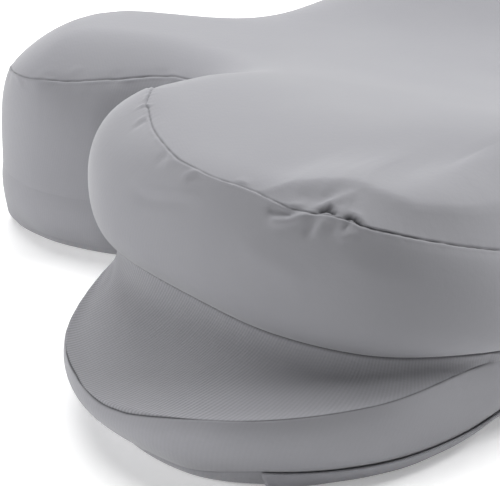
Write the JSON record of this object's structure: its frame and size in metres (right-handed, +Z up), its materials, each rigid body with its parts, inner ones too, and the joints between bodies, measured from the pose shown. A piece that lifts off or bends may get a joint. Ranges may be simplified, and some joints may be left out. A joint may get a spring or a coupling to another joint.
{
  "type": "memory foam cervical pillow",
  "caption": "Butterfly-shaped contour pillow with raised wings, a head cradle, side notches and an arm rest shelf under each front wing.",
  "frame": {"origin": "on the flat base, under the middle of the pillow's box", "axes": "+X along the pillow, -Y the neck side, +Y the head side, +Z up"},
  "size_m": [0.6404, 0.4255, 0.121],
  "materials": {
    "knit_cover": "matte ribbed grey knit",
    "flap_cloth": "matte grey woven tape"
  },
  "bodies": {
    "root": {"pillow": "knit_cover", "zip_flap": "flap_cloth"}
  },
  "joints": []
}
